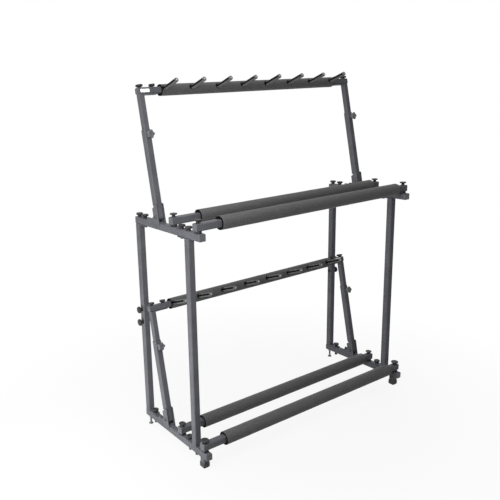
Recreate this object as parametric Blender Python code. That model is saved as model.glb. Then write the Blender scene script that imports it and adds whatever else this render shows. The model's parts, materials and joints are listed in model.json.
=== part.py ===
"""Free-standing two-level storage rack of square steel tube.

Two side frames carry two foam-covered rails on each level. On each level a neck frame leans back above
the rails: two telescopic legs that fold forward in brackets, and a foam-covered bar with eight pegs,
which leave seven slots. X runs along the rails, -Y is the front and +Z is up. The origin lies on the
floor under the middle of the rack. All sizes are in metres.
"""
import math

import bmesh
import bpy
from mathutils import Matrix, Vector

# Gaps: between touching pieces, round a screw in its hole, and round sliding tubes
SEAT_GAP = 0.0003
HOLE_GAP = 0.0004
SLIDE_GAP = 0.0003

# How far a form runs into the one that it is united with
SINK = 0.0002

# Side frames
WIDTH = 1.050
DEPTH = 0.406
BAR_SIDE = 0.0254
UPRIGHT_SIDE = 0.0254
UPRIGHT_LENGTH = 0.762
TUBE_WALL = 0.0015
TUBE_CORNER = 0.0025
PLUG_DEPTH = 0.003
PLUG_CHAMFER = 0.001
FRONT_UPRIGHT_SETBACK = 0.0757

# Flange plates on the ends of the uprights
FLANGE_THICKNESS = 0.003
FLANGE_REACH = 0.055
FLANGE_SCREW_OFFSET = 0.040
FLANGE_CORNER = 0.004

# Feet
FOOT_HEIGHT = 0.0377
FOOT_SETBACK = 0.0287
FOOT_STUB_SIDE = 0.0234
FOOT_CAP_HEIGHT = 0.020
FOOT_CAP_FLOOR = 0.004
FOOT_CAP_WALL = 0.0015
FOOT_CAP_CHAMFER = 0.0025
GLIDE_RADIUS = 0.0085
GLIDE_THICKNESS = 0.005
GLIDE_EDGE = 0.001

# Screws, nuts and hand knobs
SCREW_RADIUS = 0.004
NUT_RADIUS = 0.0066
NUT_THICKNESS = 0.005
SCREW_TAIL = 0.008
KNOB_RADIUS = 0.0125
KNOB_THICKNESS = 0.0075
KNOB_EDGE = 0.0015
KNOB_NECK_HEIGHT = 0.005
KNOB_NECK_RADIUS = 0.0065
THUMB_NUT_HEIGHT = 0.0135
THUMB_NUT_RADIUS = 0.0116
THUMB_NUT_OUTLINE = [(0.54, 0), (0.50, 0.36), (0.97, 0.62), (1.00, 0.90), (0.88, 1.00)]
JOINT_KNOB_STANDOFF = 0.009
HEX_HEAD_RADIUS = 0.0062
HEX_HEAD_LENGTH = 0.013
JOINT_BOLT_HEIGHT = 0.375
JOINT_BOLT_SPACING = 0.051

# Rails and their foam sleeves
RAIL_SIDE = 0.0254
RAIL_LIFT = 0.0070
RAIL_SPACER_RADIUS = 0.0095
RAIL_SCREW_INSET = 0.0125
FRONT_RAIL_SETBACK = 0.0236
RAIL_SPACING = 0.1398
RAIL_FOAM_DIAMETER = 0.048
RAIL_BARE_END = 0.078
RAIL_FOAM_SHIFTS = {
    "lower_front": 0.0173,
    "lower_rear": 0.0242,
    "upper_front": 0.0203,
    "upper_rear": 0.0361,
}

# Neck frames: legs, their brackets and pivots
LEAN = math.radians(11.55)
PIVOT_TO_REAR_UPRIGHT = 0.1369
PIVOT_HEIGHT = 0.019
OUTER_LEG_SIDE = 0.0254
OUTER_LEG_WALL = 0.002
OUTER_LEG_LENGTH = 0.306
INNER_LEG_LENGTH = 0.283
NECK_REACH = {"lower": 0.4307, "upper": 0.4410}
BORE_FLOOR = 0.018
LEG_NOTCH_FROM = 0.027
LEG_NOTCH_HEIGHT = 0.013
LEG_NOTCH_DEPTH = 0.010
BRACKET_WALL = 0.002
BRACKET_LIP = 0.005
BRACKET_SKIRT = 0.007
BRACKET_FRONT_TOP = 0.066
BRACKET_REAR_TOP = 0.049
BRACKET_WEB_TOP = 0.045
BRACKET_TOE = 0.056
BRACKET_TOE_HEIGHT = 0.012
BRACKET_CORNER = 0.002
BRACKET_BEND = 0.016
BRACKET_EAR_STEP = 0.004
BRACKET_EAR_CORNER = 0.003
PIN_HEAD_RADIUS = 0.0065
PIN_HEAD_THICKNESS = 0.003

# Clamp knobs of the telescopic legs
CLAMP_DROP = 0.019
CLAMP_BOSS_RADIUS = 0.0075
CLAMP_BOSS_HEIGHT = 0.004
CLAMP_KNOB_RADIUS = 0.014
CLAMP_KNOB_THICKNESS = 0.010
CLAMP_KNOB_STANDOFF = 0.012
CLAMP_KNOB_EDGE = 0.0025
CLAMP_KNOB_FACE_SHARE = 0.82
CLAMP_KNOB_BACK_SHARE = 0.92

# Neck bars with their pegs and foam
NECK_BAR_SIDE = 0.022
NECK_FLANGE_LENGTH = 0.078
NECK_FLANGE_THICKNESS = 0.003
NECK_SCREW_SPACING = 0.051
NECK_KNOB_NECK_HEIGHT = 0.003
NECK_FOAM_DIAMETER = 0.0415
NECK_BARE_END = 0.0932
PEG_COUNT = 8
PEG_END_MARGIN = 0.0164
PEG_RISE = math.radians(8.5)
PEG_LENGTH = 0.095
PEG_ROD_RADIUS = 0.0045
PEG_FOAM_DIAMETER = 0.016
PEG_FOAM_SHORTFALL = 0.001

# Facets of round forms
SCREW_STEPS = 6
SPACER_STEPS = 8
PEG_ROD_STEPS = 6
LEG_FOOT_STEPS = 8
BEND_STEPS = 4
KNOB_STEPS = 12
CLAMP_KNOB_LOBES = 5
CLAMP_KNOB_STEPS = 20
FOAM_STEPS = 16
PEG_STEPS = 8
CORNER_STEPS = 1

# Heights and places that follow from the sizes above
LEVEL_RISE = BAR_SIDE + UPRIGHT_LENGTH + 2 * SEAT_GAP
BAR_BOTTOM = {"lower": FOOT_HEIGHT, "upper": FOOT_HEIGHT + LEVEL_RISE}
SIDE_X = (WIDTH - BAR_SIDE) / 2
RAIL_FOAM_LENGTH = WIDTH - 2 * RAIL_BARE_END
NECK_FOAM_LENGTH = WIDTH - 2 * NECK_BARE_END
PEG_PITCH = (NECK_FOAM_LENGTH - 2 * PEG_END_MARGIN) / (PEG_COUNT - 1)
INNER_LEG_SIDE = OUTER_LEG_SIDE - 2 * (OUTER_LEG_WALL + SLIDE_GAP)
HOLE_RADIUS = (SCREW_RADIUS + HOLE_GAP) / math.cos(math.pi / SCREW_STEPS)
SIDES = {"left": -1, "right": 1}


def from_front(setback):
    """The world y of a place measured back from the side bars' front ends."""
    return setback - DEPTH / 2


REAR_UPRIGHT_SETBACK = DEPTH - UPRIGHT_SIDE / 2
PIVOT_Y = from_front(REAR_UPRIGHT_SETBACK - PIVOT_TO_REAR_UPRIGHT)


def clear_scene():
    for thing in list(bpy.data.objects):
        bpy.data.objects.remove(thing, do_unlink=True)
    for mesh in list(bpy.data.meshes):
        bpy.data.meshes.remove(mesh)


def principled(name, colour, roughness, metallic):
    """One material, as a Principled surface."""
    material = bpy.data.materials.new(name)
    material.use_nodes = True
    shader = material.node_tree.nodes["Principled BSDF"]
    shader.inputs["Base Color"].default_value = (*colour, 1.0)
    shader.inputs["Roughness"].default_value = roughness
    shader.inputs["Metallic"].default_value = metallic
    material.diffuse_color = (*colour, 1.0)
    return material


FINISHES = {
    "powder_coat": ((0.075, 0.075, 0.085), 0.42, 0.35),
    "foam": ((0.035, 0.035, 0.037), 0.85, 0.0),
    "black_plastic": ((0.018, 0.018, 0.019), 0.5, 0.0),
    "rubber": ((0.022, 0.022, 0.023), 0.8, 0.0),
    "zinc_steel": ((0.30, 0.30, 0.31), 0.35, 0.9),
}


# Outlines

def rounded_rectangle(left, right, bottom, top, radius, steps=CORNER_STEPS):
    """A rectangle with round corners, as points in turn."""
    corners = [(right, top), (left, top), (left, bottom), (right, bottom)]
    points = []
    for quarter, (x, y) in enumerate(corners):
        centre_x = x - math.copysign(radius, x - (left + right) / 2)
        centre_y = y - math.copysign(radius, y - (bottom + top) / 2)
        for step in range(steps + 1):
            angle = math.pi / 2 * (quarter + step / steps)
            points.append((centre_x + radius * math.cos(angle), centre_y + radius * math.sin(angle)))
    return points


def rounded_square(side, radius, steps=CORNER_STEPS):
    return rounded_rectangle(-side / 2, side / 2, -side / 2, side / 2, radius, steps)


def square(side):
    half = side / 2
    return [(half, half), (-half, half), (-half, -half), (half, -half)]


def circle(radius, steps):
    return [(radius * math.cos(2 * math.pi * k / steps), radius * math.sin(2 * math.pi * k / steps))
            for k in range(steps)]


def arc(centre, radius, start, end, steps):
    """Points of an arc, with its angles in degrees."""
    points = []
    for step in range(steps + 1):
        angle = math.radians(start + (end - start) * step / steps)
        points.append((centre[0] + radius * math.cos(angle), centre[1] + radius * math.sin(angle)))
    return points


# Meshes. Each function gives a closed mesh with its faces out.

AXIS_ORDERS = {"X": "hpq", "Y": "qhp", "Z": "pqh"}


def skinned(rings, axis="Z", ring_closed=False):
    """A mesh through rings of points, capped at both ends or, as a tube wall, closed on itself.

    Each ring is (outline, height). The outline's two numbers and the height become x, y and z for
    axis Z, y, z and x for axis X, and z, x and y for axis Y.
    """
    order = AXIS_ORDERS[axis]
    form = bmesh.new()
    loops = []
    for outline, height in rings:
        loop = []
        for p, q in outline:
            spot = {"p": p, "q": q, "h": height}
            loop.append(form.verts.new([spot[letter] for letter in order]))
        loops.append(loop)
    pairs = list(zip(loops, loops[1:]))
    if ring_closed:
        pairs.append((loops[-1], loops[0]))
    count = len(loops[0])
    for low, high in pairs:
        for k in range(count):
            after = (k + 1) % count
            form.faces.new((low[k], low[after], high[after], high[k]))
    if not ring_closed:
        form.faces.new(list(reversed(loops[0])))
        form.faces.new(loops[-1])
    bmesh.ops.recalc_face_normals(form, faces=form.faces)
    mesh = bpy.data.meshes.new("form")
    form.to_mesh(mesh)
    form.free()
    return mesh


def scaled(outline, factor):
    return [(p * factor, q * factor) for p, q in outline]


def prism(outline, start, end, axis="Z", chamfer=0.0):
    """An outline swept from start to end. A chamfer needs an outline centred on the axis."""
    if not chamfer:
        return skinned([(outline, start), (outline, end)], axis)
    reach = max(abs(p) for p, q in outline)
    small = scaled(outline, 1 - chamfer / reach)
    rings = [(small, start), (outline, start + chamfer), (outline, end - chamfer), (small, end)]
    return skinned(rings, axis)


def block(x_range, y_range, z_range):
    left, right = x_range
    front, back = y_range
    outline = [(left, front), (right, front), (right, back), (left, back)]
    return prism(outline, *z_range)


def rod(radius, start, end, axis="Z", steps=SCREW_STEPS):
    return prism(circle(radius, steps), start, end, axis)


def turned(profile, steps, axis="Z", lobes=0):
    """A turned solid. A profile row is (radius, height, lobe depth), from end to end."""
    rings = []
    offset = 0.5 if lobes else 0.0
    for radius, height, depth in profile:
        outline = []
        for k in range(steps):
            angle = 2 * math.pi * (k + offset) / steps
            reach = radius * (1 + depth * math.cos(lobes * angle))
            outline.append((reach * math.cos(angle), reach * math.sin(angle)))
        rings.append((outline, height))
    return skinned(rings, axis)


def foam_tube(outer_radius, bore_radius, start, end, steps):
    """A foam sleeve along X."""
    rows = [(bore_radius, start), (outer_radius, start), (outer_radius, end), (bore_radius, end)]
    return skinned([(circle(radius, steps), x) for radius, x in rows], "X", ring_closed=True)


def moved(mesh, shift):
    mesh.transform(Matrix.Translation(Vector(shift)))
    return mesh


def turned_about_x(mesh, angle):
    mesh.transform(Matrix.Rotation(angle, 4, "X"))
    return mesh


def combined(operation, first, others):
    """The first mesh with the others united to it, or cut out of it, one after the other."""
    target = bpy.data.objects.new("target", first)
    bpy.context.collection.objects.link(target)
    tools = []
    for mesh in others:
        tool = bpy.data.objects.new("tool", mesh)
        bpy.context.collection.objects.link(tool)
        modifier = target.modifiers.new("combine", "BOOLEAN")
        modifier.operation = operation
        modifier.solver = "EXACT"
        modifier.object = tool
        tools.append(tool)
    graph = bpy.context.evaluated_depsgraph_get()
    result = bpy.data.meshes.new_from_object(target.evaluated_get(graph))
    for thing in [target] + tools:
        bpy.data.objects.remove(thing, do_unlink=True)
    for mesh in [first] + list(others):
        bpy.data.meshes.remove(mesh)
    return result


def united(first, *others):
    return combined("UNION", first, others)


def cut(first, *others):
    return combined("DIFFERENCE", first, others)


def rounded_edges(mesh, chosen, width, segments=CORNER_STEPS):
    """The mesh with round edges where chosen(edge) is true."""
    form = bmesh.new()
    form.from_mesh(mesh)
    edges = [edge for edge in form.edges if chosen(edge)]
    bmesh.ops.bevel(form, geom=edges, offset=width, segments=segments, profile=0.5, affect="EDGES")
    bmesh.ops.recalc_face_normals(form, faces=form.faces)
    form.to_mesh(mesh)
    form.free()
    return mesh


# Screws and hand knobs, each with its axis on Z

def disc_knob(foot, neck_height, axis="Z"):
    """A flat round hand knob on its neck, standing on the axis at foot."""
    head = foot + neck_height
    top = head + KNOB_THICKNESS
    rows = [(KNOB_NECK_RADIUS, foot, 0), (KNOB_NECK_RADIUS, head, 0), (KNOB_RADIUS, head + KNOB_EDGE, 0),
            (KNOB_RADIUS, top - KNOB_EDGE, 0), (KNOB_RADIUS - KNOB_EDGE, top, 0)]
    return turned(rows, KNOB_STEPS, axis)


def knob_screw(grip, neck_height=KNOB_NECK_HEIGHT):
    """A hand knob at the origin, with its screw down through the grip into the threads under it."""
    screw = rod(SCREW_RADIUS, -grip - SCREW_TAIL, neck_height / 2)
    return united(disc_knob(SEAT_GAP, neck_height), screw)


def thumb_nut(foot):
    """The round nut that holds an upright, standing on z = foot and flaring out to its head."""
    rows = [(share * THUMB_NUT_RADIUS, foot + rise * THUMB_NUT_HEIGHT, 0) for share, rise in THUMB_NUT_OUTLINE]
    return turned(rows, KNOB_STEPS)


# Side frames

def square_tube(side, start, end, axis, wall=TUBE_WALL, plug=PLUG_DEPTH, cutters=()):
    """A square tube with plugged ends. The cutters open its hollow."""
    outer = prism(rounded_square(side, TUBE_CORNER), start, end, axis, PLUG_CHAMFER)
    inner = prism(square(side - 2 * wall), start + plug, end - plug, axis)
    return cut(outer, inner, *cutters)


def side_bar(level):
    """A side bar with the screws that hold its uprights, and the front foot's stub on the lower level.

    Its frame has the bar's middle line on the origin, with y running back from the front end.
    """
    half = BAR_SIDE / 2
    screw_spots = [FRONT_UPRIGHT_SETBACK, FRONT_UPRIGHT_SETBACK + FLANGE_SCREW_OFFSET,
                   REAR_UPRIGHT_SETBACK - FLANGE_SCREW_OFFSET, REAR_UPRIGHT_SETBACK]
    cutters = []
    for setback in (FRONT_RAIL_SETBACK, FRONT_RAIL_SETBACK + RAIL_SPACING):
        cutters.append(moved(rod(HOLE_RADIUS, 0, BAR_SIDE), (0, setback, 0)))
    if level == "lower":
        cutters.append(moved(rod(HOLE_RADIUS, -BAR_SIDE, BAR_SIDE), (0, screw_spots.pop(), 0)))
    bar = square_tube(BAR_SIDE, 0, DEPTH, "Y", cutters=cutters)
    additions = []
    axis_screws = (FRONT_UPRIGHT_SETBACK, REAR_UPRIGHT_SETBACK)
    reach = half + FLANGE_THICKNESS + 2 * SEAT_GAP
    for setback in screw_spots:
        in_flange = setback not in axis_screws
        if level == "upper":
            low = -reach - (NUT_THICKNESS if in_flange else SCREW_TAIL)
            parts = [rod(SCREW_RADIUS, low, -half + SINK), thumb_nut(half - SINK)]
            if in_flange:
                parts.append(rod(NUT_RADIUS, low, -reach, steps=6))
        else:
            high = reach + (THUMB_NUT_HEIGHT / 2 if in_flange else SCREW_TAIL)
            parts = [rod(SCREW_RADIUS, half - SINK, high),
                     rod(HEX_HEAD_RADIUS, -half - HEX_HEAD_LENGTH, -half + SINK, steps=6)]
            if in_flange:
                parts.append(thumb_nut(reach))
        additions += [moved(part, (0, setback, 0)) for part in parts]
    if level == "lower":
        stub_outline = rounded_square(FOOT_STUB_SIDE, TUBE_CORNER)
        stub_end = -half - FOOT_HEIGHT + FOOT_CAP_FLOOR + SEAT_GAP
        additions.append(moved(prism(stub_outline, stub_end, -half + SINK), (0, FOOT_SETBACK, 0)))
    return united(bar, *additions)


def flange(bottom):
    """An end plate of an upright, reaching back from the tube over two screws."""
    half = UPRIGHT_SIDE / 2
    outline = rounded_rectangle(-half, half, -half, FLANGE_REACH, FLANGE_CORNER)
    return prism(outline, bottom, bottom + FLANGE_THICKNESS)


def upright(joint_bolt_side=0):
    """An upright with its two flanges. Rear uprights carry two knob bolts on their outer side."""
    outer = prism(rounded_square(UPRIGHT_SIDE, TUBE_CORNER), 0, UPRIGHT_LENGTH)
    outer = united(outer, flange(0), flange(UPRIGHT_LENGTH - FLANGE_THICKNESS))
    hollow = square(UPRIGHT_SIDE - 2 * TUBE_WALL)
    cutters = [prism(hollow, FLANGE_THICKNESS, UPRIGHT_LENGTH - FLANGE_THICKNESS)]
    for bottom in (0, UPRIGHT_LENGTH - FLANGE_THICKNESS):
        for offset in (0, FLANGE_SCREW_OFFSET):
            hole = rod(HOLE_RADIUS, bottom - FLANGE_THICKNESS / 2, bottom + FLANGE_THICKNESS * 1.5)
            cutters.append(moved(hole, (0, offset, 0)))
    post = cut(outer, *cutters)
    if not joint_bolt_side:
        return post
    bolts = []
    for step in (0, 1):
        height = JOINT_BOLT_HEIGHT + step * JOINT_BOLT_SPACING
        bolts += joint_bolt(joint_bolt_side, height)
    return united(post, *bolts)


def joint_bolt(side, height):
    """A bolt through a rear upright: its knob on the given side and its nut on the other."""
    half = UPRIGHT_SIDE / 2
    knob = disc_knob(half - SINK, JOINT_KNOB_STANDOFF, "X")
    nut = rod(NUT_RADIUS, -half - NUT_THICKNESS, -half + SINK, "X", steps=6)
    parts = [knob, nut]
    for mesh in parts:
        if side < 0:
            mesh.transform(Matrix.Rotation(math.pi, 4, "Z"))
        moved(mesh, (0, 0, height))
    return parts


def foot_cap():
    """The rubber cap on a front foot's stub."""
    outer_side = FOOT_STUB_SIDE + 2 * (SEAT_GAP + FOOT_CAP_WALL)
    outline = rounded_square(outer_side, TUBE_CORNER)
    small = scaled(outline, 1 - 2 * FOOT_CAP_CHAMFER / outer_side)
    cap = skinned([(small, 0), (outline, FOOT_CAP_CHAMFER), (outline, FOOT_CAP_HEIGHT)])
    socket_outline = rounded_square(FOOT_STUB_SIDE + 2 * SEAT_GAP, TUBE_CORNER)
    return cut(cap, prism(socket_outline, FOOT_CAP_FLOOR, FOOT_CAP_HEIGHT * 2))


def glide():
    """A rear levelling foot: a turned pad on a stud that runs up into the upright."""
    top = FOOT_HEIGHT + BAR_SIDE + SEAT_GAP + FLANGE_THICKNESS + SCREW_TAIL
    rows = [(GLIDE_RADIUS - GLIDE_EDGE, 0, 0), (GLIDE_RADIUS, GLIDE_EDGE, 0),
            (GLIDE_RADIUS, GLIDE_THICKNESS - GLIDE_EDGE, 0), (SCREW_RADIUS + GLIDE_EDGE, GLIDE_THICKNESS, 0),
            (SCREW_RADIUS, GLIDE_THICKNESS + GLIDE_EDGE, 0), (SCREW_RADIUS, top, 0)]
    return turned(rows, KNOB_STEPS)


# Rails

def rail():
    """A cross rail with a spacer under each end and a hole for its knob screw."""
    outer = prism(rounded_square(RAIL_SIDE, TUBE_CORNER), -WIDTH / 2, WIDTH / 2, "X", PLUG_CHAMFER)
    half = RAIL_SIDE / 2
    spacers, cutters = [], []
    hollow = square(RAIL_SIDE - 2 * TUBE_WALL)
    cutters.append(prism(hollow, -WIDTH / 2 + PLUG_DEPTH, WIDTH / 2 - PLUG_DEPTH, "X"))
    for side in SIDES.values():
        x = side * (WIDTH / 2 - RAIL_SCREW_INSET)
        spacer = rod(RAIL_SPACER_RADIUS, -half - RAIL_LIFT + SEAT_GAP, -half + SINK, steps=SPACER_STEPS)
        spacers.append(moved(spacer, (x, 0, 0)))
        cutters.append(moved(rod(HOLE_RADIUS, -2 * RAIL_SIDE, 2 * RAIL_SIDE), (x, 0, 0)))
    return cut(united(outer, *spacers), *cutters)


def foam_bore(side):
    """The bore of a foam sleeve that fits over a square tube's corners."""
    corner = math.hypot(side / 2, side / 2 - TUBE_CORNER)
    return corner / math.cos(math.pi / FOAM_STEPS) + SEAT_GAP


def rail_foam():
    return foam_tube(RAIL_FOAM_DIAMETER / 2, foam_bore(RAIL_SIDE),
                     -RAIL_FOAM_LENGTH / 2, RAIL_FOAM_LENGTH / 2, FOAM_STEPS)


# Neck frames. Their pieces are modelled upright, with the pivot at the origin.

def bracket_wall_outline():
    """A side wall of a pivot bracket as (y, z), with its base on z = 0 and the pivot over y = 0."""
    slope = math.tan(LEAN)
    half = OUTER_LEG_SIDE / 2

    def leg_line(offset, z):
        return offset / math.cos(LEAN) + (z - PIVOT_HEIGHT) * slope

    back = half + SLIDE_GAP + BRACKET_WALL
    front = -half - BRACKET_LIP
    ear_back = leg_line(BRACKET_CORNER, BRACKET_FRONT_TOP)
    bend = (leg_line(back, BRACKET_TOE_HEIGHT) + BRACKET_BEND, BRACKET_TOE_HEIGHT + BRACKET_BEND)
    outline = [(leg_line(front, 0), -BRACKET_SKIRT), (BRACKET_TOE - BRACKET_SKIRT, -BRACKET_SKIRT),
               (BRACKET_TOE, 0), (BRACKET_TOE, BRACKET_TOE_HEIGHT - BRACKET_CORNER),
               (BRACKET_TOE - BRACKET_CORNER, BRACKET_TOE_HEIGHT)]
    outline += arc(bend, BRACKET_BEND, 270, 190, BEND_STEPS)
    outline += [(leg_line(back, BRACKET_WEB_TOP), BRACKET_WEB_TOP),
                (leg_line(back - BRACKET_CORNER, BRACKET_REAR_TOP), BRACKET_REAR_TOP),
                (ear_back + BRACKET_EAR_STEP, BRACKET_REAR_TOP + BRACKET_CORNER / 2),
                (ear_back, BRACKET_REAR_TOP + BRACKET_EAR_STEP + BRACKET_CORNER / 2),
                (ear_back, BRACKET_FRONT_TOP - BRACKET_EAR_STEP),
                (ear_back - BRACKET_EAR_STEP, BRACKET_FRONT_TOP)]
    corner = (leg_line(front, BRACKET_FRONT_TOP) + BRACKET_EAR_CORNER, BRACKET_FRONT_TOP - BRACKET_EAR_CORNER)
    outline += arc(corner, BRACKET_EAR_CORNER, 90, 180, 2)
    return outline


def bracket():
    """A pressed channel that holds a leg's foot between two walls, with a web behind it to lean on.

    Its walls reach down past its base, a little way over the side bar's faces.
    """
    inner = OUTER_LEG_SIDE / 2 + SLIDE_GAP
    outer = inner + BRACKET_WALL
    outline = bracket_wall_outline()
    front = outline[0][0]
    base = block((-outer, outer), (front, BRACKET_TOE), (0, BRACKET_WALL))
    walls = [prism(outline, -outer, -inner, "X"), prism(outline, inner, outer, "X")]
    web_rise = (BRACKET_WEB_TOP - PIVOT_HEIGHT) / math.cos(LEAN)
    web_drop = (PIVOT_HEIGHT - BRACKET_WALL / 2 - outer * math.sin(LEAN)) / math.cos(LEAN)
    web = block((-outer + SINK, outer - SINK), (inner, outer), (-web_drop, web_rise))
    web = moved(turned_about_x(web, -LEAN), (0, 0, PIVOT_HEIGHT))
    shell = united(base, *walls, web)
    pivot = moved(rod(HOLE_RADIUS, -2 * outer, 2 * outer, "X"), (0, 0, PIVOT_HEIGHT))
    return cut(shell, pivot)


def pivot_pin():
    """The bolt on which a leg turns, with a low head at each end."""
    reach = OUTER_LEG_SIDE / 2 + SLIDE_GAP + BRACKET_WALL + SEAT_GAP
    end = reach + PIN_HEAD_THICKNESS
    rows = [(PIN_HEAD_RADIUS * 0.8, -end, 0), (PIN_HEAD_RADIUS, -reach, 0), (SCREW_RADIUS, -reach, 0),
            (SCREW_RADIUS, reach, 0), (PIN_HEAD_RADIUS, reach, 0), (PIN_HEAD_RADIUS * 0.8, end, 0)]
    return turned(rows, SCREW_STEPS, "X")


def outer_leg():
    """The lower tube of a telescopic leg, round at its foot and open at its top."""
    half = OUTER_LEG_SIDE / 2
    outline = arc((0, 0), half, 180, 360, LEG_FOOT_STEPS)
    outline += [(half, OUTER_LEG_LENGTH), (-half, OUTER_LEG_LENGTH)]
    body = prism(outline, -half, half, "X")

    def long_edge(edge):
        on_side = all(abs(abs(vert.co.x) - half) < 1e-6 for vert in edge.verts)
        same_side = edge.verts[0].co.x * edge.verts[1].co.x > 0
        at_top = all(vert.co.z > OUTER_LEG_LENGTH - 1e-6 for vert in edge.verts)
        return on_side and same_side and not at_top

    body = rounded_edges(body, long_edge, TUBE_CORNER)
    clamp_z = OUTER_LEG_LENGTH - CLAMP_DROP
    boss = rod(CLAMP_BOSS_RADIUS, -half - CLAMP_BOSS_HEIGHT, -half + TUBE_WALL / 2, "Y", steps=SPACER_STEPS)
    body = united(body, moved(boss, (0, 0, clamp_z)))
    bore_side = OUTER_LEG_SIDE - 2 * OUTER_LEG_WALL
    bore = prism(square(bore_side), BORE_FLOOR, OUTER_LEG_LENGTH * 2)
    pin_hole = rod(HOLE_RADIUS, -OUTER_LEG_SIDE, OUTER_LEG_SIDE, "X")
    screw_hole = moved(rod(HOLE_RADIUS, -OUTER_LEG_SIDE, 0, "Y"), (0, 0, clamp_z))
    notch = block((-OUTER_LEG_SIDE, OUTER_LEG_SIDE), (half - LEG_NOTCH_DEPTH, OUTER_LEG_SIDE),
                  (LEG_NOTCH_FROM, LEG_NOTCH_FROM + LEG_NOTCH_HEIGHT))
    return cut(body, bore, pin_hole, screw_hole, notch)


def inner_leg():
    """The sliding tube of a leg under its top flange, with the flange's underside at z = 0."""
    half = NECK_BAR_SIDE / 2
    tube = prism(rounded_square(INNER_LEG_SIDE, TUBE_CORNER / 2), -INNER_LEG_LENGTH, SINK)
    plate_outline = rounded_rectangle(-half, NECK_FLANGE_LENGTH - half, -half, half, FLANGE_CORNER)
    plate = prism(plate_outline, 0, NECK_FLANGE_THICKNESS)
    cutters = [prism(square(INNER_LEG_SIDE - 2 * TUBE_WALL), -2 * INNER_LEG_LENGTH, 0)]
    for x in (0, NECK_SCREW_SPACING):
        cutters.append(moved(rod(HOLE_RADIUS, -NECK_FLANGE_THICKNESS, 2 * NECK_FLANGE_THICKNESS), (x, 0, 0)))
    return cut(united(tube, plate), *cutters)


def clamp_knob():
    """A five-lobed knob on its screw, pointing to -Y, with the leg's middle line at y = 0."""
    tip = -INNER_LEG_SIDE / 2 - SLIDE_GAP
    face = -OUTER_LEG_SIDE / 2
    back = face - CLAMP_KNOB_STANDOFF
    front = back - CLAMP_KNOB_THICKNESS
    neck = face - CLAMP_BOSS_HEIGHT - SEAT_GAP
    radius = CLAMP_KNOB_RADIUS
    neck_radius = SCREW_RADIUS * 1.5
    rows = [(radius * CLAMP_KNOB_FACE_SHARE, front, 0.10), (radius, front + CLAMP_KNOB_EDGE, 0.14),
            (radius * CLAMP_KNOB_BACK_SHARE, back, 0.12)]
    head = turned(rows, CLAMP_KNOB_STEPS, "Y", lobes=CLAMP_KNOB_LOBES)
    stem_rows = [(neck_radius, back - CLAMP_KNOB_EDGE / 2, 0), (neck_radius, neck, 0),
                 (SCREW_RADIUS, neck, 0), (SCREW_RADIUS, tip, 0)]
    stem = turned(stem_rows, SCREW_STEPS, "Y")
    return united(head, stem)


def peg_places():
    """The x of each peg, evenly spaced about the middle."""
    return [(k - (PEG_COUNT - 1) / 2) * PEG_PITCH for k in range(PEG_COUNT)]


def along_peg(mesh, x):
    """A form made along -Y, raised to the pegs' slope and moved to its peg."""
    return moved(turned_about_x(mesh, -PEG_RISE), (x, 0, 0))


def neck_bar():
    """A neck bar with its welded peg rods, with its middle line on the origin."""
    half = WIDTH / 2
    root = -NECK_BAR_SIDE / 2 + TUBE_WALL / 2
    rods = [along_peg(rod(PEG_ROD_RADIUS, -PEG_LENGTH, root, "Y", PEG_ROD_STEPS), x) for x in peg_places()]
    outer = united(prism(rounded_square(NECK_BAR_SIDE, TUBE_CORNER), -half, half, "X", PLUG_CHAMFER), *rods)
    hollow = square(NECK_BAR_SIDE - 2 * TUBE_WALL)
    cutters = [prism(hollow, -half + PLUG_DEPTH, half - PLUG_DEPTH, "X")]
    for x in neck_screw_places():
        cutters.append(moved(rod(HOLE_RADIUS, -NECK_BAR_SIDE, NECK_BAR_SIDE), (x, 0, 0)))
    return cut(outer, *cutters)


def neck_screw_places():
    """The x of the knob screws that hold a neck bar on its legs."""
    return [side * (SIDE_X - inset) for side in SIDES.values() for inset in (0, NECK_SCREW_SPACING)]


def neck_foam():
    """The foam of a neck bar: a sleeve on the bar, joined to a sleeve on each peg."""
    bore = foam_bore(NECK_BAR_SIDE)
    radius = NECK_FOAM_DIAMETER / 2
    body = foam_tube(radius, bore, -NECK_FOAM_LENGTH / 2, NECK_FOAM_LENGTH / 2, FOAM_STEPS)
    sleeve_end = -PEG_LENGTH + PEG_FOAM_SHORTFALL
    peg_radius = PEG_FOAM_DIAMETER / 2
    root = -(bore + radius) / 2
    rows = [(peg_radius, sleeve_end, 0), (peg_radius, root, 0)]
    sleeves = [along_peg(turned(rows, PEG_STEPS, "Y"), x) for x in peg_places()]
    bore_radius = PEG_ROD_RADIUS + SEAT_GAP
    bores = [along_peg(rod(bore_radius, -2 * PEG_LENGTH, 0, "Y", PEG_ROD_STEPS), x) for x in peg_places()]
    return cut(united(body, *sleeves), *bores)


# Placing the pieces

def place(name, mesh, material, location=(0, 0, 0), turn=0.0, parent=None):
    """A node: the mesh as its own object, turned about Z, under a parent where it has one."""
    thing = bpy.data.objects.new(name, mesh)
    bpy.context.collection.objects.link(thing)
    if not mesh.materials:
        mesh.materials.append(material)
    thing.location = location
    thing.rotation_euler = (0, 0, turn)
    thing.parent = parent
    return thing


def finish(mesh, angle=35):
    """The mesh with merged seams and smooth shading up to an angle."""
    form = bmesh.new()
    form.from_mesh(mesh)
    bmesh.ops.remove_doubles(form, verts=form.verts, dist=1e-6)
    bmesh.ops.dissolve_degenerate(form, dist=1e-6, edges=form.edges)
    form.to_mesh(mesh)
    form.free()
    mesh.materials.clear()
    mesh.shade_smooth()
    mesh.set_sharp_from_angle(angle=math.radians(angle))
    return mesh


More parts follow.
